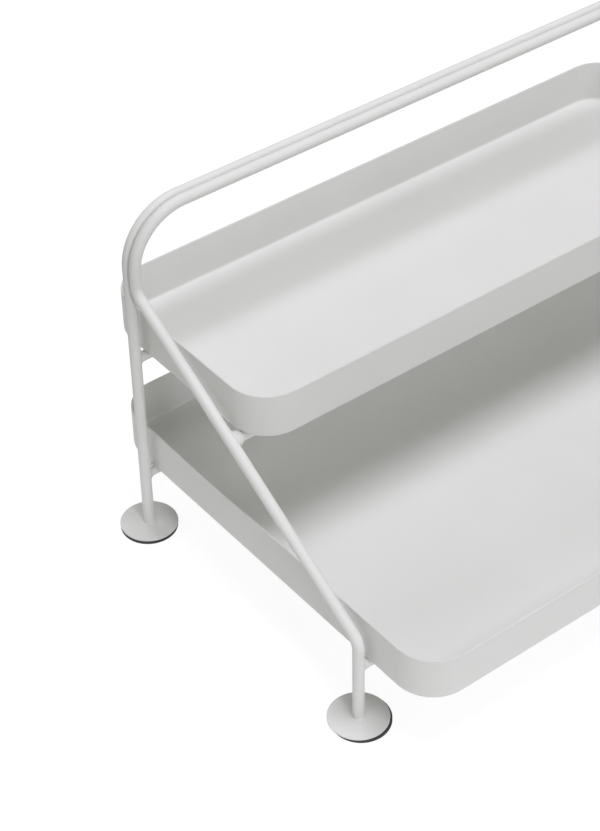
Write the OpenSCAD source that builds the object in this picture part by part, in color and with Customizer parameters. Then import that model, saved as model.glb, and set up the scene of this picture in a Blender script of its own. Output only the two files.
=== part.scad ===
// Two-tier shelf riser: two shallow sheet-metal trays carried on a frame of bent round wire.
// Millimetres, +Z up, +X to the right, front towards -Y.
// The origin lies on the floor, midway between the side frames and midway along the lower tray.

/* [Wire frame] */
// Diameter of the round steel wire
wire_d = 6; // [4:0.5:8]
// Diameter of the four crossbars under the trays
bar_d = 5.5; // [3:0.5:6]
// How far the crossbars lie behind the middle of the wires that they are welded to, square to the wire
bar_setback = 2; // [0:0.5:2.5]
// Height of the riser over its top bar
frame_h = 206; // [185:0.5:260]
// Distance from the rear legs to the front legs, centre to centre
leg_spacing = 180; // [150:1:210]
// Centreline radius of the two arches beside the top bar
arch_r = 30.5; // [15:0.5:42]
// Centreline radius of the bends above the front legs
bend_r = 10; // [8:1:20]
// Height of the corner where the front wire leaves the rear one
upper_bend_z = 160; // [145:0.5:162]
// Height of the corner where the sloping run turns down into the front leg
lower_bend_z = 54.5; // [44:0.5:70]
// Free space between a side frame and the walls of the trays
side_gap = 3; // [1:0.5:8]
// How far the weld swells a crossbar where it meets an upright
weld_swell = 1.2; // [0.3:0.1:1.5]
// Length of that swelling along the crossbar
weld_len = 2.5; // [1:0.1:3]

/* [Trays] */
// Outside width of both trays
tray_w = 351; // [250:1:450]
// Outside depth of the lower tray
lower_tray_d = 258; // [235:1:300]
// Outside depth of the upper tray
upper_tray_d = 131; // [125:1:160]
// Height of the tray walls over the underside
tray_wall_h = 25.8; // [12:0.2:35]
// Thickness of the tray sheet
sheet_t = 1; // [0.8:0.1:1.6]
// Outside radius of the upright tray corners
corner_r = 22; // [10:0.5:35]
// Outside radius of the fold between floor and wall
fold_r = 2.4; // [1.8:0.1:4]
// Height of the underside of the lower tray
lower_tray_z = 37.6; // [30:0.2:44]
// Height of the underside of the upper tray
upper_tray_z = 115.7; // [100:0.1:130]
// Reach of both trays behind the rear legs
rear_overhang = 34.5; // [25:0.5:50]

/* [Feet] */
// Diameter of the steel foot discs
disc_d = 31.4; // [24:0.2:36]
// Thickness of the steel foot discs
disc_t = 0.9; // [0.6:0.1:2]
// Rounding of the upper edge of the foot discs
disc_edge_r = 0.3; // [0.1:0.1:0.5]
// Diameter of the dark pads under the discs
pad_d = 31; // [20:0.2:36]
// Thickness of the dark pads
pad_t = 2; // [0.8:0.1:3]

/* [Fit] */
// Space left in the model where a round wire touches its neighbour
touch_gap = 0.1; // [0.05:0.05:0.3]

/* [Hidden] */
$fn = 96;

wire_colour = [0.80, 0.80, 0.78];
tray_colour = [0.84, 0.84, 0.82];
pad_colour = [0.10, 0.10, 0.10];

// A bend is a hair fuller than the straight runs that reach into its ends
bend_swell = 0.02;
bend_lap = 0.3;

// Places across the depth, from the rear wall of the trays forward
rear_wall_y = lower_tray_d / 2;
rear_y = rear_wall_y - rear_overhang;
front_y = rear_y - leg_spacing;
// The front wire lies against the rear wire, one wire further forward
pair_y = rear_y - wire_d - touch_gap;

// Places across the width and up the frame
side_x = tray_w / 2 + side_gap + wire_d / 2;
top_z = frame_h - wire_d / 2;
foot_z = pad_t + disc_t;
arch_z = top_z - arch_r;

// The sloping run of the front wire
slope = atan2(upper_bend_z - lower_bend_z, pair_y - front_y);
turn = 90 - slope;
bend_reach = bend_r * tan(turn / 2);
upper_bend_start_z = upper_bend_z + bend_reach;
lower_bend_end_z = lower_bend_z - bend_reach;
slope_top = [pair_y - bend_reach * cos(slope), upper_bend_z - bend_reach * sin(slope)];
slope_end = [front_y + bend_reach * cos(slope), lower_bend_z + bend_reach * sin(slope)];
slope_len = norm(slope_top - slope_end);
upright_len = arch_z - upper_bend_start_z;
front_leg_len = lower_bend_end_z - foot_z;

// Heights of the crossbars, just under the trays that they carry
lower_bar_z = lower_tray_z - bar_d / 2 - touch_gap;
upper_bar_z = upper_tray_z - bar_d / 2 - touch_gap;
// A weld stops short of the tray's wall
weld_reach = min(weld_len, side_gap - touch_gap);
// Level distance behind the sloping run that puts a crossbar as far from its middle as from an upright's
slope_setback = bar_setback / sin(slope);

// Where the centre of the front wire lies at height z, from the leg up to the arch
function front_wire_y(z) =
  z <= lower_bend_end_z ? front_y :
  z <= slope_end[1] ? front_y + bend_r - sqrt(bend_r ^ 2 - (z - lower_bend_end_z) ^ 2) :
  z <= slope_top[1] ? slope_end[0] + (z - slope_end[1]) / tan(slope) :
  z <= upper_bend_start_z ? pair_y - bend_r + sqrt(bend_r ^ 2 - (upper_bend_start_z - z) ^ 2) :
  pair_y;

// A straight run of wire along +Z; laps are how far it reaches into the bends before and after it
module run(length, d, laps = [0, 0]) {
  translate([0, 0, -laps[0]])
    cylinder(d = d, h = laps[0] + length + laps[1]);
}

// A bend that starts along +Z at the origin and leans to +X
module bend(radius, angle, d) {
  translate([radius, 0, 0])
    rotate([90, 0, 180])
      rotate_extrude(angle = angle)
        translate([radius, 0])
          circle(d = d + bend_swell);
}

// Places what follows a bend at its far end, again along +Z
module after_bend(radius, angle) {
  translate([radius * (1 - cos(angle)), 0, radius * sin(angle)])
    rotate([0, angle, 0])
      children();
}

// Places what follows a straight run at its far end
module after_run(length) {
  translate([0, 0, length])
    children();
}

// Left half of the top bar at depth y and the arch beside it; the stretch given as a child
// goes on from the foot of the arch, with +Z downwards and +Y towards the front
module half_arch(y, d) {
  translate([0, y, top_z])
    rotate([0, 90, 180]) {
      run(side_x - arch_r, d, [0, bend_lap]);
      after_run(side_x - arch_r) {
        bend(arch_r, 90, d);
        after_bend(arch_r, 90)
          children();
      }
    }
}

// Left half of the rear wire: top bar, arch and one straight leg
module half_rear_wire(d) {
  half_arch(rear_y, d)
    run(arch_z - foot_z, d, [bend_lap, 0]);
}

// Left half of the front wire: top bar, arch, upright, upper bend, slope, lower bend and leg
module half_front_wire(d) {
  half_arch(pair_y, d)
    rotate(90) {
      run(upright_len, d, [bend_lap, bend_lap]);
      after_run(upright_len) {
        bend(bend_r, turn, d);
        after_bend(bend_r, turn) {
          run(slope_len, d, [bend_lap, bend_lap]);
          after_run(slope_len)
            rotate(180) {
              bend(bend_r, turn, d);
              after_bend(bend_r, turn)
                run(front_leg_len, d, [bend_lap, 0]);
            }
        }
      }
    }
}

// A left half and its mirror image
module both_sides() {
  children();
  mirror([1, 0, 0])
    children();
}

module rear_arch_wire() {
  color(wire_colour)
    both_sides()
      half_rear_wire(wire_d);
}

module front_arch_wire() {
  color(wire_colour)
    both_sides()
      half_front_wire(wire_d);
}

// Left half of a crossbar, with the swelling of its weld, before it is cut to the upright
module half_bar() {
  swell_d = bar_d + 2 * weld_swell;
  translate([-side_x, 0, 0])
    rotate([0, 90, 0]) {
      run(side_x, bar_d);
      cylinder(d1 = bar_d, d2 = swell_d, h = wire_d / 2);
      after_run(wire_d / 2)
        cylinder(d1 = swell_d, d2 = bar_d, h = weld_reach);
    }
}

// A crossbar at depth y and height z, its ends cut to sit on the wires given as children
module crossbar(y, z) {
  color(wire_colour)
    difference() {
      translate([0, y, z])
        both_sides()
          half_bar();
      children();
    }
}

module upper_rear_crossbar() {
  crossbar(rear_y + bar_setback, upper_bar_z)
    both_sides()
      half_rear_wire(wire_d + 2 * touch_gap);
}

module lower_rear_crossbar() {
  crossbar(rear_y + bar_setback, lower_bar_z)
    both_sides()
      half_rear_wire(wire_d + 2 * touch_gap);
}

module upper_front_crossbar() {
  crossbar(front_wire_y(upper_bar_z) + slope_setback, upper_bar_z)
    both_sides()
      half_front_wire(wire_d + 2 * touch_gap);
}

module lower_front_crossbar() {
  crossbar(front_wire_y(lower_bar_z) + bar_setback, lower_bar_z)
    both_sides()
      half_front_wire(wire_d + 2 * touch_gap);
}

// Section of floor, fold and wall, from the centre of a corner out to the wall
module wall_section() {
  difference() {
    square([corner_r, tray_wall_h - sheet_t / 2]);
    translate([0, sheet_t])
      square([corner_r - fold_r, tray_wall_h]);
    translate([0, fold_r])
      square([corner_r - sheet_t, tray_wall_h]);
    translate([corner_r - fold_r, fold_r])
      circle(r = fold_r - sheet_t);
    difference() {
      translate([corner_r - fold_r, 0])
        square(fold_r);
      translate([corner_r - fold_r, fold_r])
        circle(r = fold_r);
    }
  }
  translate([corner_r - sheet_t / 2, tray_wall_h - sheet_t / 2])
    circle(d = sheet_t);
}

// One wall of a tray with half its floor, along +X, with the wall towards -Y
module wall_run(length) {
  translate([-length / 2, 0, 0])
    rotate([90, 0, 90])
      mirror([1, 0, 0])
        linear_extrude(length)
          wall_section();
}

// A tray with its floor centred on the origin and its underside at z = 0
module tray(width, depth) {
  straight_w = width - 2 * corner_r;
  straight_d = depth - 2 * corner_r;
  translate([-straight_w / 2, -straight_d / 2, 0])
    cube([straight_w, straight_d, sheet_t]);
  for (side = [0, 180]) {
    rotate(side)
      translate([0, -straight_d / 2, 0])
        wall_run(straight_w);
    rotate(side + 90)
      translate([0, -straight_w / 2, 0])
        wall_run(straight_d);
    rotate(side)
      translate([straight_w / 2, straight_d / 2, 0])
        rotate_extrude(angle = 90)
          wall_section();
    rotate(side)
      translate([-straight_w / 2, straight_d / 2, 0])
        rotate(90)
          rotate_extrude(angle = 90)
            wall_section();
  }
}

module upper_tray() {
  color(tray_colour)
    translate([0, rear_wall_y - upper_tray_d / 2, upper_tray_z])
      tray(tray_w, upper_tray_d);
}

module lower_tray() {
  color(tray_colour)
    translate([0, rear_wall_y - lower_tray_d / 2, lower_tray_z])
      tray(tray_w, lower_tray_d);
}

// Steel disc under a leg, on the left with side = -1 and on the right with side = 1
module foot_disc(side, y) {
  color(wire_colour)
    translate([side * side_x, y, pad_t])
      rotate_extrude() {
        square([disc_d / 2, disc_t - disc_edge_r]);
        square([disc_d / 2 - disc_edge_r, disc_t]);
        translate([disc_d / 2 - disc_edge_r, disc_t - disc_edge_r])
          circle(r = disc_edge_r);
      }
}

// Dark pad stuck under a disc
module foot_pad(side, y) {
  color(pad_colour)
    translate([side * side_x, y, 0])
      cylinder(d = pad_d, h = pad_t);
}

rear_arch_wire();
front_arch_wire();
upper_rear_crossbar();
upper_front_crossbar();
lower_rear_crossbar();
lower_front_crossbar();
upper_tray();
lower_tray();
foot_disc(-1, rear_y);  // foot_disc_rear_left
foot_disc(1, rear_y);  // foot_disc_rear_right
foot_disc(-1, front_y);  // foot_disc_front_left
foot_disc(1, front_y);  // foot_disc_front_right
foot_pad(-1, rear_y);  // foot_pad_rear_left
foot_pad(1, rear_y);  // foot_pad_rear_right
foot_pad(-1, front_y);  // foot_pad_front_left
foot_pad(1, front_y);  // foot_pad_front_right
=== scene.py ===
"""Two-tier shelf riser: bent wires, folded sheet trays and disc feet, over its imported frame."""
import math

import bmesh
import bpy
from bpy.props import FloatProperty, FloatVectorProperty, IntProperty, PointerProperty
from mathutils import Euler, Matrix, Vector


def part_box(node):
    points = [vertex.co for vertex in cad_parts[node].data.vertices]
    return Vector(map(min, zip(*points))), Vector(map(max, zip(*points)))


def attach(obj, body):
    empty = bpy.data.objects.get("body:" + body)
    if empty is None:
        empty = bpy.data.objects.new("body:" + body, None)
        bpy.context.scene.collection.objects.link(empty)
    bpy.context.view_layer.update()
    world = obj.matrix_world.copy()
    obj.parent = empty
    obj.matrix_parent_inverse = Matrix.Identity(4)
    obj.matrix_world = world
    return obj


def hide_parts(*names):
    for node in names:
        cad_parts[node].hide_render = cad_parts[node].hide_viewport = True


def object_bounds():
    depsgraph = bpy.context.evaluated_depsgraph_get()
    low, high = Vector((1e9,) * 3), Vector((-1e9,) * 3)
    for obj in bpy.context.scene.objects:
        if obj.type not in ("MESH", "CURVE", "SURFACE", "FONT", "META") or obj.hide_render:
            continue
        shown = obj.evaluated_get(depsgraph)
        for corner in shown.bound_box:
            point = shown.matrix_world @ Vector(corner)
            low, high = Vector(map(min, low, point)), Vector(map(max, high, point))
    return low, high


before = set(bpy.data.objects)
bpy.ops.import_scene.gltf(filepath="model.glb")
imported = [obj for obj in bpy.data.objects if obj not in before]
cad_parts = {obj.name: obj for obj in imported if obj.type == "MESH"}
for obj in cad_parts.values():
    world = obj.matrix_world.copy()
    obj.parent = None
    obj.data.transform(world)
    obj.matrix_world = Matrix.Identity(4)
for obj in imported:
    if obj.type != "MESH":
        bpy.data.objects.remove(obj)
cad_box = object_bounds()

bl_info = {
    "name": "Tiered Shelf Riser",
    "version": (1, 0, 0),
    "blender": (4, 5, 0),
    "location": "View3D > Sidebar > Shelf Riser",
    "description": "Builds a tiered shelf riser's coated wires, trays and feet, and its stage",
    "category": "Add Mesh",
}

BODY = "root"
MM = 0.001
X_AXIS = Vector((1, 0, 0))
Y_AXIS = Vector((0, 1, 0))
Z_AXIS = Vector((0, 0, 1))
CORNERS = ("rear_left", "rear_right", "front_left", "front_right")

# Edges sharper than this stay crisp, and the weight that keeps large faces flat
SHARP_ANGLE = math.radians(50)
FLAT_WEIGHT = 100
# Mark on rims and edges, where the coat is darker: painted shade that damps their highlight, and
# the thin coat there
SHADE_AND_WEAR_MARK = "edge_wear"

# Steps over a tray's outer fold, its rim and its inner fold, a foot's rim, and a tack weld
FOLD_STEPS = 8
RIM_STEPS = 10
INNER_FOLD_STEPS = 6
FOOT_RIM_STEPS = 6
TACK_STEPS = 12
# Flats round a foot, against those round a wire
FOOT_FLATS = 3

# Welds on the legs, on the low rear legs and on the slopes: how fat and how long they are,
# against the plain weld's sizes
LEG_WELD = (1.7, 1.0)
FULL_WELD = (2.4, 1.1)
SLOPE_WELD = (1.45, 1.7)
# How much welds thin out at the sides of a bar, and how far and how tightly a bead's foot flares
WELD_PINCH = 0.6
BEAD_FLARE = 0.3
FLARE_TIGHTNESS = 6
# How deep the far end of a weld dips under the bar's surface, as a share of the bar's radius
WELD_DIP = 0.06
# How near a weld may start to the middle of its wire, as a share of the wire's radius
SADDLE_LEAST = 0.5
# Tack welds under the trays: places along a bar, how they sit in the corner beside it, and how
# thick their tips are
TACK_PLACES = (-0.8, -0.27, 0.27, 0.8)
TACK_SPREAD = 0.55
TACK_SINK = 0.35
TACK_TIP = 0.15
# Plugs of weld between a leg, the end of its bar and the tray's wall: thickness against a tack's
PLUG_FULLNESS = 1.6
# Pads are stuck on by hand, a little off the middle of their discs, in metres
PAD_DRIFT = {
    "rear_left": (-0.00015, -0.0002),
    "rear_right": (-0.0003, -0.0002),
    "front_left": (0.0009, -0.0008),
    "front_right": (0.0002, 0.0005),
}

# Range of a noise that the looks are spread over
NOISE_MIDDLE = (0.3, 0.7)
# Coat: distances between its changes of tone and between the patches of painted edge shade and
# thin coat, and its two tones
TONE_SPACING = 45 * MM
SHADE_AND_WEAR_SPACING = 12 * MM
PALER_TONE = 1.012
DEEPER_TONE = 0.985
# Coat: least painted shade and thin coat along a marked edge, how far its roughness varies, and
# the depth and strength of its dimples and grains
LEAST_SHADE_AND_WEAR = 0.3
ROUGHNESS_SPREAD = 0.05
DIMPLE_BUMP = (0.05 * MM, 0.25)
GRAIN_BUMP = (0.012 * MM, 0.3)
# Rubber: distance between its pebbles, their depth and strength, its paler tone and roughness
PEBBLE_SPACING = 0.5 * MM
PEBBLE_BUMP = (0.05 * MM, 0.5)
PALER_RUBBER = 1.4
RUBBER_ROUGHNESS = (0.75, 0.92)

# Near left and far right corners of the pale table top that the riser stands on, in metres, and
# the share of light that it throws back
FLOOR = ((-0.5, -0.5), (0.5, 0.65))
FLOOR_BOUNCE = 0.97
WHITE = (1, 1, 1, 1)
# Lamps: degrees round from the front, degrees up, metres away, and width and height in metres
LAMPS = {
    "top": (15, 82, 5.0, 2.5, 2.1),
    "strip": (-17, 13, 2.5, 0.17, 0.9),
    "spot": (-12, 46, 2.5, 0.17, 0.17),
    "left": (-110, 12, 2.5, 1.15, 1.15),
    "back": (180, 38, 2.5, 1.15, 1.8),
}
# Width of the camera's sensor, in millimetres
SENSOR_WIDTH = 36


class RiserSizes(bpy.types.PropertyGroup):
    """Sizes that the frame's boxes don't give."""

    wire_diameter: FloatProperty(
        name="Wire diameter",
        description="Thickness of the two bent wires",
        default=6 * MM, min=2 * MM, max=12 * MM,
        precision=4, subtype="DISTANCE", unit="LENGTH",
    )
    bar_diameter: FloatProperty(
        name="Bar diameter",
        description="Thickness of the four crossbars",
        default=5.5 * MM, min=2 * MM, max=12 * MM,
        precision=4, subtype="DISTANCE", unit="LENGTH",
    )
    bar_setback: FloatProperty(
        name="Bar setback",
        description="How far the crossbars lie behind their wires' middles, square to the wires",
        default=2 * MM, min=0, max=4 * MM,
        precision=4, subtype="DISTANCE", unit="LENGTH",
    )
    arch_radius: FloatProperty(
        name="Arch radius",
        description="Radius of the top corners, on the wire's centre line",
        default=30.5 * MM, min=10 * MM, max=60 * MM,
        precision=4, subtype="DISTANCE", unit="LENGTH",
    )
    bend_radius: FloatProperty(
        name="Bend radius",
        description="Radius of the two bends in each sloping side, on the wire's centre line",
        default=10 * MM, min=6 * MM, max=30 * MM,
        precision=4, subtype="DISTANCE", unit="LENGTH",
    )
    upper_bend_height: FloatProperty(
        name="Upper bend height",
        description="Height at which the upright and the slope would meet in a point",
        default=160 * MM, min=100 * MM, max=180 * MM,
        precision=4, subtype="DISTANCE", unit="LENGTH",
    )
    lower_bend_height: FloatProperty(
        name="Lower bend height",
        description="Height at which the slope and the front leg would meet in a point",
        default=54.5 * MM, min=20 * MM, max=90 * MM,
        precision=4, subtype="DISTANCE", unit="LENGTH",
    )
    sheet_thickness: FloatProperty(
        name="Sheet thickness",
        description="Thickness of the trays' coated sheet",
        default=1 * MM, min=0.6 * MM, max=2 * MM,
        precision=4, subtype="DISTANCE", unit="LENGTH",
    )
    corner_radius: FloatProperty(
        name="Corner radius",
        description="Outer radius of the trays' upright corners",
        default=22 * MM, min=8 * MM, max=50 * MM,
        precision=4, subtype="DISTANCE", unit="LENGTH",
    )
    fold_radius: FloatProperty(
        name="Fold radius",
        description="Outer radius of the fold between a tray's floor and its wall",
        default=2.4 * MM, min=1.3 * MM, max=8 * MM,
        precision=4, subtype="DISTANCE", unit="LENGTH",
    )
    weld_swell: FloatProperty(
        name="Weld swell",
        description="How far a weld stands out round the end of a bar",
        default=1.2 * MM, min=0, max=3 * MM,
        precision=4, subtype="DISTANCE", unit="LENGTH",
    )
    weld_length: FloatProperty(
        name="Weld length",
        description="How far a weld runs along a bar",
        default=2.5 * MM, min=0.2 * MM, max=5 * MM,
        precision=4, subtype="DISTANCE", unit="LENGTH",
    )
    foot_weld: FloatProperty(
        name="Foot weld",
        description="Radius of the hollow weld between a leg and its foot disc",
        default=0.6 * MM, min=0.1 * MM, max=2 * MM,
        precision=4, subtype="DISTANCE", unit="LENGTH",
    )
    tack_length: FloatProperty(
        name="Tack length",
        description="Length of the tack welds between a bar and the tray on it",
        default=9 * MM, min=2 * MM, max=20 * MM,
        precision=4, subtype="DISTANCE", unit="LENGTH",
    )
    tack_thickness: FloatProperty(
        name="Tack thickness",
        description="Thickness of the tack welds at their middle",
        default=1.8 * MM, min=0.5 * MM, max=4 * MM,
        precision=4, subtype="DISTANCE", unit="LENGTH",
    )
    disc_edge_radius: FloatProperty(
        name="Disc edge radius",
        description="Rounding of the foot discs' rims",
        default=0.3 * MM, min=0.05 * MM, max=0.39 * MM,
        precision=4, subtype="DISTANCE", unit="LENGTH",
    )
    pad_edge_radius: FloatProperty(
        name="Pad edge radius",
        description="Rounding of the foot pads' rims",
        default=0.35 * MM, min=0.05 * MM, max=0.7 * MM,
        precision=4, subtype="DISTANCE", unit="LENGTH",
    )
    round_steps: IntProperty(
        name="Round steps",
        description="Flats round a wire, and in each quarter of a tray's corner",
        default=40, min=12, max=96,
    )


class RiserFinish(bpy.types.PropertyGroup):
    """Colours and surface of the coat and the pads."""

    frame_coat: FloatVectorProperty(
        name="Frame coat",
        description="Powder coat on the wires, crossbars and foot discs",
        default=(0.73, 0.73, 0.71), size=3, min=0, max=1, subtype="COLOR",
    )
    tray_coat: FloatVectorProperty(
        name="Tray coat",
        description="Powder coat on the two trays",
        default=(0.73, 0.73, 0.71), size=3, min=0, max=1, subtype="COLOR",
    )
    pad_rubber: FloatVectorProperty(
        name="Pad rubber",
        description="Rubber under the foot discs",
        default=(0.03, 0.03, 0.03), size=3, min=0, max=1, subtype="COLOR",
    )
    coat_roughness: FloatProperty(
        name="Coat roughness",
        description="Middle roughness of the powder coat",
        default=0.65, min=0.1, max=1, subtype="FACTOR",
    )
    # The darkening along rims and edges is painted shade that damps their highlight, and partly
    # the thin coat there
    edge_wear: FloatProperty(
        name="Edge wear",
        description="How much darker the coat is where it is thin, along rims and edges",
        default=0.12, min=0, max=1, subtype="FACTOR",
    )
    peel_size: FloatProperty(
        name="Peel size",
        description="Distance between the soft dimples of the coat",
        default=1.6 * MM, min=0.2 * MM, max=10 * MM,
        precision=4, subtype="DISTANCE", unit="LENGTH",
    )
    grain_size: FloatProperty(
        name="Grain size",
        description="Distance between the fine grains of the coat",
        default=0.35 * MM, min=0.05 * MM, max=3 * MM,
        precision=4, subtype="DISTANCE", unit="LENGTH",
    )


class RiserStage(bpy.types.PropertyGroup):
    """Camera, floor and lamps."""

    camera_place: FloatVectorProperty(
        name="Camera place",
        description="Where the camera stands",
        default=(-0.63689, -0.64925, 0.80985), size=3, subtype="TRANSLATION", unit="LENGTH",
    )
    camera_turn: FloatVectorProperty(
        name="Camera turn",
        description="How the camera is turned, as XYZ angles",
        default=[math.radians(a) for a in (49.7394, 1.0049, -37.7784)], size=3, subtype="EULER",
    )
    camera_lens: FloatProperty(
        name="Camera lens",
        description="Focal length in millimetres on a 36 mm sensor",
        default=94.76, min=20, max=300,
    )
    top_light: FloatProperty(
        name="Top light",
        description="Power of the large soft light overhead, in watts",
        default=173, min=0, max=500,
    )
    strip_light: FloatProperty(
        name="Strip light",
        description="Power of the narrow light in front that draws the legs' shadows, in watts",
        default=16, min=0, max=200,
    )
    spot_light: FloatProperty(
        name="Spot light",
        description="Power of the small light high up in front, in watts",
        default=3.8, min=0, max=200,
    )
    left_light: FloatProperty(
        name="Left light",
        description="Power of the low soft light at the left, in watts",
        default=4, min=0, max=200,
    )
    back_light: FloatProperty(
        name="Back light",
        description="Power of the soft light behind, in watts",
        default=11.4, min=0, max=200,
    )
    lamp_colour: FloatVectorProperty(
        name="Lamp colour",
        description="Colour of the lamps, a trace cooler than the room",
        default=(0.936, 0.931, 1.0), size=3, min=0, max=1, subtype="COLOR",
    )
    room_light: FloatProperty(
        name="Room light",
        description="Strength of the even light from all round",
        default=0.19, min=0, max=2,
    )
    room_colour: FloatVectorProperty(
        name="Room colour",
        description="Colour of the even light from all round",
        default=(0.985, 1.0, 0.83), size=3, min=0, max=1, subtype="COLOR",
    )
    floor_glow: FloatProperty(
        name="Floor glow",
        description="White that the floor shows of itself, before the light that falls on it",
        default=0.92, min=0, max=1, subtype="FACTOR",
    )
    floor_shade: FloatProperty(
        name="Floor shade",
        description="Share of the falling light, and so of the shadow, that the floor shows",
        default=0.14, min=0, max=1, subtype="FACTOR",
    )


def sizes():
    """The riser's sizes."""
    return bpy.context.scene.riser_sizes


def finish():
    """The riser's colours and surface."""
    return bpy.context.scene.riser_finish


def stage():
    """The stage's settings."""
    return bpy.context.scene.riser_stage


def middle(node):
    """Centre of a node's box."""
    low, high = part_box(node)
    return (low + high) / 2


def slope_turn():
    """Angle between the front legs and the sloping runs above them."""
    low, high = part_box("front_arch_wire")
    depth = high.y - low.y - sizes().wire_diameter
    return math.atan2(depth, sizes().upper_bend_height - sizes().lower_bend_height)


def slope_heading():
    """Direction of the sloping runs, upwards."""
    return Vector((0, math.sin(slope_turn()), math.cos(slope_turn())))


class BentWire:
    """A wire's centre line, made as on a bender: straight runs and round bends in turn."""

    def __init__(self, start, heading):
        self.points = [start.copy()]
        self.headings = [heading.copy()]

    def run(self, length, stops=(1,)):
        """Goes straight on, with a ring at each of the stops, as shares of the length."""
        start, heading = self.points[-1], self.headings[-1]
        for share in stops:
            self.points.append(start + heading * length * share)
            self.headings.append(heading.copy())

    def bend(self, axis, angle, radius, steps):
        """Turns about an axis square to the heading."""
        start, heading = self.points[-1], self.headings[-1]
        centre = start + axis.cross(heading) * radius
        for step in range(1, steps + 1):
            turn = Matrix.Rotation(angle * step / steps, 3, axis)
            self.points.append(centre + turn @ (start - centre))
            self.headings.append(turn @ heading)

    def rings(self, radii, sides):
        """Circles round the line, carried along it without twist."""
        across = self.headings[0].orthogonal().normalized()
        made = []
        for number, (point, heading) in enumerate(zip(self.points, self.headings)):
            if number:
                across = self.headings[number - 1].rotation_difference(heading) @ across
            over = heading.cross(across)
            outs = [across * math.cos(a) + over * math.sin(a) for a in whole_turn(sides)]
            made.append([point + out * radii[number] for out in outs])
        return made


def quarter(steps):
    """Angles over a quarter turn, ends included."""
    return [math.pi / 2 * step / steps for step in range(steps + 1)]


def whole_turn(steps):
    """Angles over a whole turn, without the last, which is the first again."""
    return [2 * math.pi * step / steps for step in range(steps)]


def rounded_ring(low, high, inset, radius, height, steps):
    """Points of a level round-cornered rectangle, set in from a box on all four sides."""
    round_off = radius - inset
    left, front = low.x + radius, low.y + radius
    right, rear = high.x - radius, high.y - radius
    ring = []
    for start, (x, y) in enumerate(((right, rear), (left, rear), (left, front), (right, front))):
        for angle in quarter(steps):
            turned = angle + start * math.pi / 2
            across, along = round_off * math.cos(turned), round_off * math.sin(turned)
            ring.append(Vector((x + across, y + along, height)))
    return ring


def round_ring(centre, radius, height, steps):
    """Points of a level circle."""
    ring = []
    for angle in whole_turn(steps):
        across, along = radius * math.cos(angle), radius * math.sin(angle)
        ring.append(Vector((centre.x + across, centre.y + along, height)))
    return ring


def skin(bm, rings, shaded_and_worn=()):
    """Skins a row of closed rings of equal counts, caps both ends, and marks the rings for painted
    edge shade and wear.
    """
    layer = bm.verts.layers.float[SHADE_AND_WEAR_MARK]
    rows = [[bm.verts.new(point) for point in ring] for ring in rings]
    for number in shaded_and_worn:
        for vert in rows[number]:
            vert[layer] = 1
    count = len(rows[0])
    for first, second in zip(rows, rows[1:]):
        for side in range(count):
            after = (side + 1) % count
            bm.faces.new((first[side], first[after], second[after], second[side]))
    bm.faces.new(rows[0])
    bm.faces.new(rows[-1])


def add_piece(name, stacks, node, material, shaded_and_worn=()):
    """Makes one piece from stacks of rings, lets it stand for its node and ride with the frame."""
    bm = bmesh.new()
    bm.verts.layers.float.new(SHADE_AND_WEAR_MARK)
    for rings in stacks:
        skin(bm, rings, shaded_and_worn)
    bmesh.ops.recalc_face_normals(bm, faces=bm.faces)
    for face in bm.faces:
        face.smooth = True
    for edge in bm.edges:
        edge.smooth = edge.calc_face_angle(0) < SHARP_ANGLE
    mesh = bpy.data.meshes.new(name)
    bm.to_mesh(mesh)
    bm.free()
    piece = bpy.data.objects.new(name, mesh)
    bpy.context.scene.collection.objects.link(piece)
    mesh.materials.append(material)
    even = piece.modifiers.new("Flat faces stay flat", "WEIGHTED_NORMAL")
    even.weight = FLAT_WEIGHT
    even.keep_sharp = True
    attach(piece, BODY)
    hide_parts(node)


def add_node(material, kind, **settings):
    """Adds a shader node and sets its inputs by name."""
    node = material.node_tree.nodes.new(kind)
    for name, value in settings.items():
        node.inputs[name.replace("_", " ")].default_value = value
    return node


def add_noise(material, place, spacing, detail, roughness=0.5):
    """Adds a noise whose lumps lie about a spacing apart."""
    node = add_node(
        material, "ShaderNodeTexNoise", Scale=1 / spacing, Detail=detail, Roughness=roughness
    )
    material.node_tree.links.new(place.outputs["Object"], node.inputs["Vector"])
    return node


def add_bump(material, height, distance, strength, below=None):
    """Adds a bump of a height field, on top of another bump if one is given."""
    node = add_node(material, "ShaderNodeBump", Distance=distance, Strength=strength)
    material.node_tree.links.new(height.outputs["Fac"], node.inputs["Height"])
    if below:
        material.node_tree.links.new(below.outputs["Normal"], node.inputs["Normal"])
    return node


def add_range(material, source, low, high):
    """Adds a node that spreads a noise's middle range over low to high."""
    least, most = NOISE_MIDDLE
    node = add_node(
        material, "ShaderNodeMapRange", From_Min=least, From_Max=most, To_Min=low, To_Max=high
    )
    material.node_tree.links.new(source.outputs["Fac"], node.inputs["Value"])
    return node


def add_tint(material, share, first, second):
    """Adds a mix by a share of a colour, or of another mix, and a second colour."""
    node = material.node_tree.nodes.new("ShaderNodeMix")
    node.data_type = "RGBA"
    colours = [socket for socket in node.inputs if socket.type == "RGBA"]
    if isinstance(first, bpy.types.NodeSocket):
        material.node_tree.links.new(first, colours[0])
    else:
        colours[0].default_value = (*first, 1)
    colours[1].default_value = (*second, 1)
    material.node_tree.links.new(share, node.inputs["Factor"])
    return next(socket for socket in node.outputs if socket.type == "RGBA")


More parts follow.
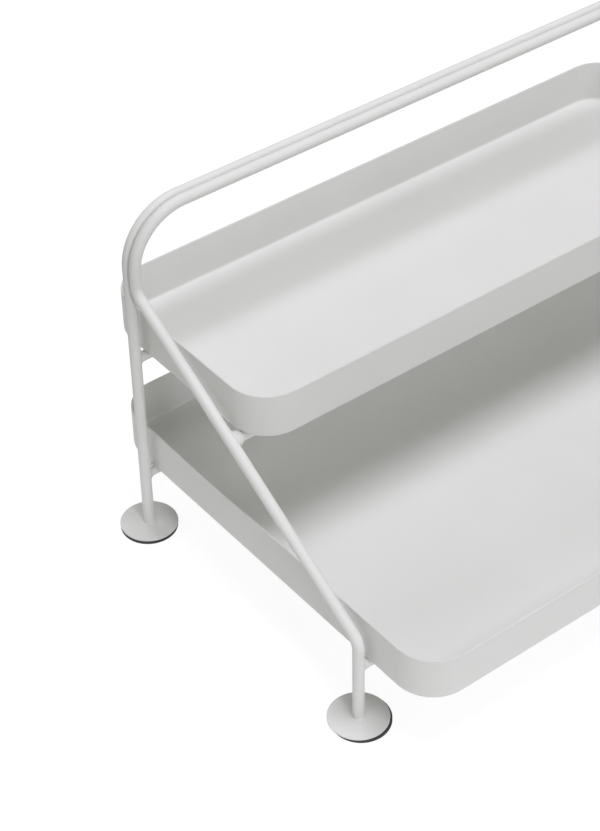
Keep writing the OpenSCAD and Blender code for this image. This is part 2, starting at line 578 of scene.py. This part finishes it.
def add_shade_and_wear(material, patches):
    """Adds a share of painted edge shade and wear, high in patches along the marked edges of a
    piece.
    """
    edges = material.node_tree.nodes.new("ShaderNodeAttribute")
    edges.attribute_name = SHADE_AND_WEAR_MARK
    shaded_and_worn = material.node_tree.nodes.new("ShaderNodeMath")
    shaded_and_worn.operation = "MULTIPLY"
    material.node_tree.links.new(edges.outputs["Fac"], shaded_and_worn.inputs[0])
    material.node_tree.links.new(patches.outputs["Result"], shaded_and_worn.inputs[1])
    return shaded_and_worn.outputs[0]


def new_material(name):
    """An empty node material with its shader and its place on the piece."""
    material = bpy.data.materials.get(name)
    if material:
        bpy.data.materials.remove(material)
    material = bpy.data.materials.new(name)
    material.use_nodes = True
    shader = material.node_tree.nodes["Principled BSDF"]
    place = material.node_tree.nodes.new("ShaderNodeTexCoord")
    return material, shader, place


def powder_coat(name, colour):
    """Satin powder coat: dimples, fine grain, a slow drift in tone, and darker edges: painted
    shade that damps their highlight, with the thin coat there.
    """
    look = finish()
    material, shader, place = new_material(name)
    links = material.node_tree.links
    drift = add_noise(material, place, TONE_SPACING, detail=2)
    peel = add_noise(material, place, look.peel_size, detail=1)
    grain = add_noise(material, place, look.grain_size, detail=2, roughness=0.6)
    paler = [min(1, PALER_TONE * channel) for channel in colour]
    deeper = [DEEPER_TONE * channel for channel in colour]
    # Painted shade: the marked rims and edges are darkened to damp their highlight, partly for the
    # thin coat there
    shaded_and_thinned = [(1 - look.edge_wear) * channel for channel in colour]
    tone = add_tint(material, add_range(material, drift, 0, 1).outputs["Result"], deeper, paler)
    shade_and_wear_patches = add_noise(material, place, SHADE_AND_WEAR_SPACING, detail=3)
    shaded_and_worn = add_shade_and_wear(material, add_range(material, shade_and_wear_patches, LEAST_SHADE_AND_WEAR, 1))
    links.new(add_tint(material, shaded_and_worn, tone, shaded_and_thinned), shader.inputs["Base Color"])
    smoothest = look.coat_roughness - ROUGHNESS_SPREAD
    roughest = look.coat_roughness + ROUGHNESS_SPREAD
    gloss = add_range(material, grain, smoothest, roughest)
    links.new(gloss.outputs["Result"], shader.inputs["Roughness"])
    dimples = add_bump(material, peel, *DIMPLE_BUMP)
    grains = add_bump(material, grain, *GRAIN_BUMP, below=dimples)
    links.new(grains.outputs["Normal"], shader.inputs["Normal"])
    return material


def pad_rubber(name, colour):
    """Matt moulded rubber with a fine pebble."""
    material, shader, place = new_material(name)
    links = material.node_tree.links
    pebble = add_noise(material, place, PEBBLE_SPACING, detail=3, roughness=0.6)
    tone = add_range(material, pebble, 0, 1).outputs["Result"]
    paler = [PALER_RUBBER * channel for channel in colour]
    links.new(add_tint(material, tone, colour, paler), shader.inputs["Base Color"])
    matt = add_range(material, pebble, *RUBBER_ROUGHNESS)
    links.new(matt.outputs["Result"], shader.inputs["Roughness"])
    bumps = add_bump(material, pebble, *PEBBLE_BUMP)
    links.new(bumps.outputs["Normal"], shader.inputs["Normal"])
    return material


def weld_fillet(steps=6):
    """A hollow fillet, as pairs of share along it and share of its swell, from its thick end."""
    shares = [1 - math.cos(angle) for angle in quarter(steps)]
    return [(share, 1 - math.sqrt(max(0, 1 - (1 - share) ** 2))) for share in shares]


def weld_bead(steps=10):
    """A full round bead with a flared foot, in the same pairs as a fillet, from the foot."""
    bead = []
    for angle in quarter(steps):
        flare = BEAD_FLARE * (1 - math.sin(angle)) ** FLARE_TIGHTNESS
        bead.append((math.sin(angle), math.cos(angle) + flare))
    return bead


def leg_ends(length, radius, weld, upwards):
    """Stops along a leg and the radii there, swelling into the weld on its foot disc."""
    fillet = [(share * weld / length, radius + weld * out) for share, out in weld_fillet()]
    if upwards:
        return [s for s, _ in fillet[1:]] + [1], [r for _, r in fillet] + [radius]
    return [1 - s for s, _ in reversed(fillet)], [r for _, r in reversed(fillet)]


class RISER_OT_arch_wires(bpy.types.Operator):
    """Bends the two wires that make the legs, the sloping sides and the double top bar"""

    bl_idname = "riser.arch_wires"
    bl_label = "Arch wires"

    def execute(self, context):
        coat = powder_coat("wire_coat", finish().frame_coat)
        self.add_wire("rear_wire", "rear_arch_wire", coat, sloping=False)
        self.add_wire("front_wire", "front_arch_wire", coat, sloping=True)
        return {"FINISHED"}

    def add_wire(self, name, node, coat, sloping):
        """Bends one wire from its left foot over the top to its right foot."""
        size = sizes()
        low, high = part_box(node)
        radius = size.wire_diameter / 2
        left, top = low.x + radius, high.z - radius
        foot_y = low.y + radius if sloping else (low.y + high.y) / 2
        turn = slope_turn()
        reach = size.bend_radius * math.tan(turn / 2)
        slope = (size.upper_bend_height - size.lower_bend_height) / math.cos(turn) - 2 * reach
        arch_start = top - size.arch_radius
        leg = size.lower_bend_height - reach - low.z if sloping else arch_start - low.z
        upright = arch_start - size.upper_bend_height - reach
        up_stops, up_radii = leg_ends(leg, radius, size.foot_weld, True)
        down_stops, down_radii = leg_ends(leg, radius, size.foot_weld, False)
        steps = size.round_steps
        wire = BentWire(Vector((left, foot_y, low.z)), Z_AXIS)
        wire.run(leg, up_stops)
        if sloping:
            wire.bend(-X_AXIS, turn, size.bend_radius, steps // 2)
            wire.run(slope)
            wire.bend(X_AXIS, turn, size.bend_radius, steps // 2)
            wire.run(upright)
        wire.bend(Y_AXIS, math.pi / 2, size.arch_radius, steps)
        wire.run(-2 * (left + size.arch_radius))
        wire.bend(Y_AXIS, math.pi / 2, size.arch_radius, steps)
        if sloping:
            wire.run(upright)
            wire.bend(-X_AXIS, turn, size.bend_radius, steps // 2)
            wire.run(slope)
            wire.bend(X_AXIS, turn, size.bend_radius, steps // 2)
        wire.run(leg, down_stops)
        plain = len(wire.points) - len(up_radii) - len(down_radii)
        radii = up_radii + [radius] * plain + down_radii
        add_piece(name, [wire.rings(radii, steps)], node, coat)


class RISER_OT_crossbars(bpy.types.Operator):
    """Lays the four bars that carry the trays, with the welds on the wires and under the trays"""

    bl_idname = "riser.crossbars"
    bl_label = "Crossbars"

    def execute(self, context):
        coat = powder_coat("bar_coat", finish().frame_coat)
        self.add_bar("upper_rear", Z_AXIS, weld_fillet(), LEG_WELD, coat)
        self.add_bar("upper_front", slope_heading(), weld_bead(), SLOPE_WELD, coat)
        self.add_bar("lower_rear", Z_AXIS, weld_fillet(), FULL_WELD, coat, plugged=True)
        self.add_bar("lower_front", Z_AXIS, weld_fillet(), LEG_WELD, coat)
        return {"FINISHED"}

    def add_bar(self, bar, upright, profile, weld, coat, plugged=False):
        """Lays one bar between two uprights, and welds it to them and to the tray on it."""
        size = sizes()
        node = bar + "_crossbar"
        radius = size.bar_diameter / 2
        centre = middle(node)
        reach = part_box("rear_arch_wire")[1].x - size.wire_diameter / 2
        wire = BentWire(Vector((-reach, centre.y, centre.z)), X_AXIS)
        wire.run(2 * reach)
        stacks = [wire.rings([radius] * 2, size.round_steps)]
        for side in (-1, 1):
            foot = Vector((side * reach, centre.y, centre.z))
            stacks.append(self.weld_rings(foot, side, upright, profile, weld))
            if plugged:
                stacks.append(self.plug_rings(foot, side))
        for share in TACK_PLACES:
            for side in (-1, 1):
                stacks.append(self.tack_rings(centre + X_AXIS * share * reach, side))
        add_piece(bar + "_bar", stacks, node, coat)

    def weld_rings(self, foot, side, upright, profile, weld):
        """Rings of the weld round a bar's end, which sits on the upright like a saddle."""
        size = sizes()
        bar, wire = size.bar_diameter / 2, size.wire_diameter / 2
        swell, length = size.weld_swell * weld[0], size.weld_length * weld[1]
        across = X_AXIS.cross(upright)
        angles = whole_turn(size.round_steps)
        nearest = (SADDLE_LEAST * wire) ** 2
        rings = [[foot + (upright * math.cos(a) + across * math.sin(a)) * bar for a in angles]]
        for share, out in profile + [(1, -WELD_DIP)]:
            ring = []
            for a in angles:
                pinched = swell * (1 - WELD_PINCH * math.sin(a) ** 2)
                thick = bar + (pinched if out > 0 else bar) * out
                aside = thick * math.sin(a)
                saddle = math.sqrt(max(nearest, wire ** 2 - (aside - size.bar_setback) ** 2))
                place = foot - X_AXIS * side * (saddle + share * length)
                ring.append(place + upright * thick * math.cos(a) + across * aside)
            rings.append(ring)
        return rings

    def tack_rings(self, place, side):
        """Rings of a tack weld in the corner between the bar and the underside of its tray."""
        bar, thick = sizes().bar_diameter / 2, sizes().tack_thickness / 2
        aside = side * (bar + thick) * TACK_SPREAD
        seat = place + Vector((0, aside, bar - thick * TACK_SINK))
        return self.spindle_rings(seat, sizes().tack_length, thick)

    def plug_rings(self, foot, side):
        """Rings of a plug of weld on the bar's end, between the leg's side and the tray's wall."""
        size = sizes()
        thick = PLUG_FULLNESS * size.tack_thickness / 2
        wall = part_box("lower_tray")[1].x
        leg_side = abs(foot.x) - size.wire_diameter / 2
        height = foot.z + size.bar_diameter / 2 + thick
        seat = Vector((side * (leg_side + wall) / 2, foot.y, height))
        return self.spindle_rings(seat, leg_side - wall + 2 * size.sheet_thickness, thick)

    def spindle_rings(self, place, length, thick):
        """Rings of a spindle along the bar, thick in the middle."""
        steps = range(TACK_STEPS + 1)
        bead = BentWire(place - X_AXIS * length / 2, X_AXIS)
        bead.run(length, [step / TACK_STEPS for step in steps[1:]])
        swells = [math.sin(math.pi * step / TACK_STEPS) for step in steps]
        radii = [thick * (TACK_TIP + (1 - TACK_TIP) * swell) for swell in swells]
        return bead.rings(radii, sizes().round_steps // 2)


class RISER_OT_trays(bpy.types.Operator):
    """Folds the two round-cornered sheet trays"""

    bl_idname = "riser.trays"
    bl_label = "Trays"

    def execute(self, context):
        coat = powder_coat("tray_coat", finish().tray_coat)
        for tray in ("upper", "lower"):
            self.add_tray(tray, coat)
        return {"FINISHED"}

    def add_tray(self, tray, coat):
        """Folds one tray: its section goes from the floor's underside round the rim to its top."""
        size = sizes()
        node = tray + "_tray"
        low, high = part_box(node)
        fold, half = size.fold_radius, size.sheet_thickness / 2
        rim_z = high.z - half
        outside = self.fold_section(low.z, fold, FOLD_STEPS)
        rim = [
            (half - half * math.cos(2 * a), rim_z + half * math.sin(2 * a))
            for a in quarter(RIM_STEPS)
        ]
        inside = self.fold_section(low.z, fold - size.sheet_thickness, INNER_FOLD_STEPS)
        rings = [
            rounded_ring(low, high, inset, size.corner_radius, z, size.round_steps // 2)
            for inset, z in outside + rim + inside[::-1]
        ]
        # The rim's rings get the painted edge shade and wear
        rim_rings = range(len(outside) + 1, len(outside) + len(rim) - 1)
        add_piece(tray + "_tray_sheet", [rings], node, coat, rim_rings)

    def fold_section(self, bottom, radius, steps):
        """One face of the fold from floor to wall, as pairs of inset and height."""
        fold = sizes().fold_radius
        return [
            (fold - radius * math.sin(a), bottom + fold - radius * math.cos(a))
            for a in quarter(steps)
        ]


def add_round_foot(name, node, centre, edge, material):
    """Turns a flat disc with rounded rims, as wide and as thick as its node's box."""
    low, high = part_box(node)
    radius = (high.x - low.x) / 2
    lower = [
        (radius - edge + edge * math.sin(a), low.z + edge - edge * math.cos(a))
        for a in quarter(FOOT_RIM_STEPS)
    ]
    upper = [(out, high.z + low.z - z) for out, z in reversed(lower)]
    flats = FOOT_FLATS * sizes().round_steps
    rings = [round_ring(centre, out, z, flats) for out, z in lower + upper]
    # The rim rings are marked for the coat's painted edge shade and wear
    add_piece(name, [rings], node, material, range(1, len(rings) - 1))


class RISER_OT_foot_discs(bpy.types.Operator):
    """Turns the four flat discs that the legs stand on"""

    bl_idname = "riser.foot_discs"
    bl_label = "Foot discs"

    def execute(self, context):
        coat = powder_coat("disc_coat", finish().frame_coat)
        edge = sizes().disc_edge_radius
        for corner in CORNERS:
            node = "foot_disc_" + corner
            add_round_foot("disc_" + corner, node, middle(node), edge, coat)
        return {"FINISHED"}


class RISER_OT_foot_pads(bpy.types.Operator):
    """Cuts the four dark pads under the foot discs"""

    bl_idname = "riser.foot_pads"
    bl_label = "Foot pads"

    def execute(self, context):
        rubber = pad_rubber("pad_rubber", finish().pad_rubber)
        edge = sizes().pad_edge_radius
        for corner in CORNERS:
            node = "foot_pad_" + corner
            centre = middle(node) + Vector((*PAD_DRIFT[corner], 0))
            add_round_foot("pad_" + corner, node, centre, edge, rubber)
        return {"FINISHED"}


class RISER_OT_stage(bpy.types.Operator):
    """Sets the floor, the soft lamps, the even room light and the camera"""

    bl_idname = "riser.stage"
    bl_label = "Stage"

    def execute(self, context):
        context.scene.view_settings.view_transform = "Standard"
        self.add_floor(context)
        self.light_room(context)
        for lamp, place in LAMPS.items():
            self.add_lamp(context, lamp + "_lamp", place, getattr(stage(), lamp + "_light"))
        self.add_camera(context)
        return {"FINISHED"}

    def background_rays(self, tree):
        """A share that is 1 where the background shows: straight, mirrored or through glass."""
        rays = tree.nodes.new("ShaderNodeLightPath")
        seen = rays.outputs["Is Camera Ray"]
        for name in ("Is Glossy Ray", "Is Transmission Ray"):
            either = tree.nodes.new("ShaderNodeMath")
            either.operation = "MAXIMUM"
            tree.links.new(seen, either.inputs[0])
            tree.links.new(rays.outputs[name], either.inputs[1])
            seen = either.outputs[0]
        return seen

    def add_floor(self, context):
        """A pale table top that looks white, bounces light and keeps a faint shadow."""
        (left, front), (right, rear) = FLOOR
        mesh = bpy.data.meshes.new("floor")
        corners = [(left, front, 0), (right, front, 0), (right, rear, 0), (left, rear, 0)]
        mesh.from_pydata(corners, [], [(0, 1, 2, 3)])
        floor = bpy.data.objects.new("floor", mesh)
        context.scene.collection.objects.link(floor)
        material = bpy.data.materials.new("white_floor")
        material.use_nodes = True
        tree = material.node_tree
        tree.nodes.clear()
        bounce = add_node(material, "ShaderNodeBsdfDiffuse", Color=(*[FLOOR_BOUNCE] * 3, 1))
        shade = add_node(material, "ShaderNodeBsdfDiffuse", Color=(*[stage().floor_shade] * 3, 1))
        glow = add_node(material, "ShaderNodeEmission", Color=WHITE, Strength=stage().floor_glow)
        shown = tree.nodes.new("ShaderNodeAddShader")
        tree.links.new(shade.outputs[0], shown.inputs[0])
        tree.links.new(glow.outputs[0], shown.inputs[1])
        choose = tree.nodes.new("ShaderNodeMixShader")
        tree.links.new(self.background_rays(tree), choose.inputs[0])
        tree.links.new(bounce.outputs[0], choose.inputs[1])
        tree.links.new(shown.outputs[0], choose.inputs[2])
        output = tree.nodes.new("ShaderNodeOutputMaterial")
        tree.links.new(choose.outputs[0], output.inputs["Surface"])
        mesh.materials.append(material)

    def light_room(self, context):
        """Even light from all round, with white where the background shows."""
        world = bpy.data.worlds.new("studio")
        context.scene.world = world
        world.use_nodes = True
        tree = world.node_tree
        tree.nodes.clear()
        room = tree.nodes.new("ShaderNodeBackground")
        room.inputs["Color"].default_value = (*stage().room_colour, 1)
        room.inputs["Strength"].default_value = stage().room_light
        white = tree.nodes.new("ShaderNodeBackground")
        white.inputs["Color"].default_value = WHITE
        choose = tree.nodes.new("ShaderNodeMixShader")
        tree.links.new(self.background_rays(tree), choose.inputs[0])
        tree.links.new(room.outputs[0], choose.inputs[1])
        tree.links.new(white.outputs[0], choose.inputs[2])
        output = tree.nodes.new("ShaderNodeOutputWorld")
        tree.links.new(choose.outputs[0], output.inputs["Surface"])

    def add_lamp(self, context, name, place, power):
        """A flat soft lamp that faces the riser, turned round it from the front and raised."""
        round_by, raised_by, distance, width, height = place
        low, high = cad_box
        aim = (low + high) / 2
        way = Euler((math.radians(-raised_by), 0, math.radians(round_by))).to_matrix() @ -Y_AXIS
        light = bpy.data.lights.new(name, "AREA")
        light.shape = "RECTANGLE"
        light.size, light.size_y = width, height
        light.energy = power
        light.color = stage().lamp_colour
        lamp = bpy.data.objects.new(name, light)
        lamp.location = aim + way * distance
        lamp.rotation_euler = way.to_track_quat("Z", "Y").to_euler()
        context.scene.collection.objects.link(lamp)

    def add_camera(self, context):
        """The camera, at the photograph's viewing angle."""
        lens = bpy.data.cameras.new("camera")
        lens.sensor_width = SENSOR_WIDTH
        lens.lens = stage().camera_lens
        camera = bpy.data.objects.new("camera", lens)
        camera.location = stage().camera_place
        camera.rotation_euler = Euler(stage().camera_turn)
        context.scene.collection.objects.link(camera)
        context.scene.camera = camera


OPERATORS = (
    RISER_OT_arch_wires,
    RISER_OT_crossbars,
    RISER_OT_trays,
    RISER_OT_foot_discs,
    RISER_OT_foot_pads,
    RISER_OT_stage,
)


class RISER_PT_panel(bpy.types.Panel):
    """Lists the riser's pieces, sizes, finish and stage"""

    bl_idname = "RISER_PT_panel"
    bl_label = "Shelf Riser"
    bl_space_type = "VIEW_3D"
    bl_region_type = "UI"
    bl_category = "Shelf Riser"

    def draw(self, context):
        layout = self.layout
        for operator in OPERATORS:
            layout.operator(operator.bl_idname)
        for group in (sizes(), finish(), stage()):
            box = layout.box()
            for name in group.__annotations__:
                box.prop(group, name)


CLASSES = (RiserSizes, RiserFinish, RiserStage, *OPERATORS, RISER_PT_panel)


def register():
    """Adds the classes and the scene's settings."""
    for cls in CLASSES:
        bpy.utils.register_class(cls)
    bpy.types.Scene.riser_sizes = PointerProperty(type=RiserSizes)
    bpy.types.Scene.riser_finish = PointerProperty(type=RiserFinish)
    bpy.types.Scene.riser_stage = PointerProperty(type=RiserStage)


def unregister():
    """Takes the scene's settings and the classes away again."""
    del bpy.types.Scene.riser_stage
    del bpy.types.Scene.riser_finish
    del bpy.types.Scene.riser_sizes
    for cls in reversed(CLASSES):
        bpy.utils.unregister_class(cls)


def main():
    """Registers the add-on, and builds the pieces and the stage."""
    register()
    bpy.ops.riser.arch_wires()
    bpy.ops.riser.crossbars()
    bpy.ops.riser.trays()
    bpy.ops.riser.foot_discs()
    bpy.ops.riser.foot_pads()
    bpy.ops.riser.stage()


if __name__ == "__main__":
    main()
